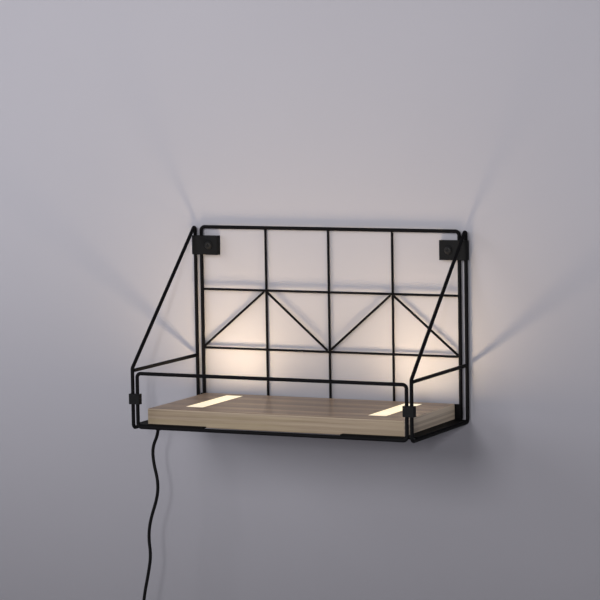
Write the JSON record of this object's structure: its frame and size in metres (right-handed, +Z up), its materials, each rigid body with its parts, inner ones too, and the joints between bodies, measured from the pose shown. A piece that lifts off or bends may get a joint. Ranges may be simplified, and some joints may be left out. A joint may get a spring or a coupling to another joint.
{
  "type": "wall lamp with shelf",
  "caption": "Wall lamp with a wooden shelf board in a black wire grid frame, lit slots in the board, an inline rocker switch and a plug-in power supply.",
  "frame": {"origin": "midway between the two bracket holes, on the wall plane", "axes": "+X to the viewer's right, +Y into the wall, +Z up"},
  "size_m": [0.3166, 0.1462, 0.5523],
  "materials": {
    "black_wire": "matt black powder coat",
    "black_sheet": "matt black powder coat",
    "shelf_wood": "matt lacquer, fine grain",
    "opal": "satin opal, lit from inside",
    "circuit_board": "white solder mask",
    "led_chip": "phosphor",
    "black_plastic": "fine matt",
    "black_gloss_plastic": "semi-gloss",
    "cord_cover": "smooth matt",
    "soft_black": "soft matt",
    "screw_steel": "zinc plated",
    "brass": "plain",
    "pin_metal": "nickel plated"
  },
  "bodies": {
    "lamp": {"panel_frame": "black_wire", "front_frame": "black_wire", "grid_upright_middle": "black_wire", "grid_upright_left": "black_wire", "grid_upright_right": "black_wire", "grid_crosswire_upper": "black_wire", "grid_crosswire_lower": "black_wire", "grid_brace_outer_left": "black_wire", "grid_brace_outer_right": "black_wire", "grid_brace_inner_left": "black_wire", "grid_brace_inner_right": "black_wire", "side_frame_left": "black_wire", "side_frame_right": "black_wire", "side_rail_left": "black_wire", "side_rail_right": "black_wire", "front_clip_left": "black_plastic", "front_clip_right": "black_plastic", "wall_bracket_left": "black_plastic", "wall_bracket_right": "black_plastic", "shelf_board": "shelf_wood", "diffuser_left": "opal", "diffuser_right": "opal", "led_board_left": "circuit_board", "led_board_right": "circuit_board", "led_chips_left": "led_chip", "led_chips_right": "led_chip", "end_plate_left": "black_sheet", "end_plate_right": "black_sheet", "plate_screws": "screw_steel", "link_lead": "cord_cover", "groove_cover": "black_plastic", "cord_bushing": "soft_black", "inner_lead": "cord_cover", "cord_upper": "cord_cover", "cord_lower": "cord_cover", "cord_coil": "cord_cover", "cord_tail": "cord_cover", "coil_tie": "soft_black", "switch_front_shell": "black_plastic", "switch_back_shell": "black_plastic", "switch_contacts": "brass", "switch_screws": "screw_steel", "switch_reliefs": "soft_black", "adapter_front_shell": "black_plastic", "adapter_back_shell": "black_plastic", "adapter_relief": "soft_black", "adapter_board": "circuit_board", "adapter_transformer": "black_gloss_plastic", "adapter_capacitor": "black_gloss_plastic", "plug_pins": "pin_metal", "pin_sleeves": "black_plastic"},
    "rocker": {"switch_rocker": "black_gloss_plastic"}
  },
  "joints": [
    {"name": "switch_rocker_tilt", "type": "hinge", "parent": "lamp", "child": "rocker", "pos_m": [-0.148, -0.1363, -0.386], "axis": [1, 0, 0], "range_deg": [0, 14]}
  ]
}
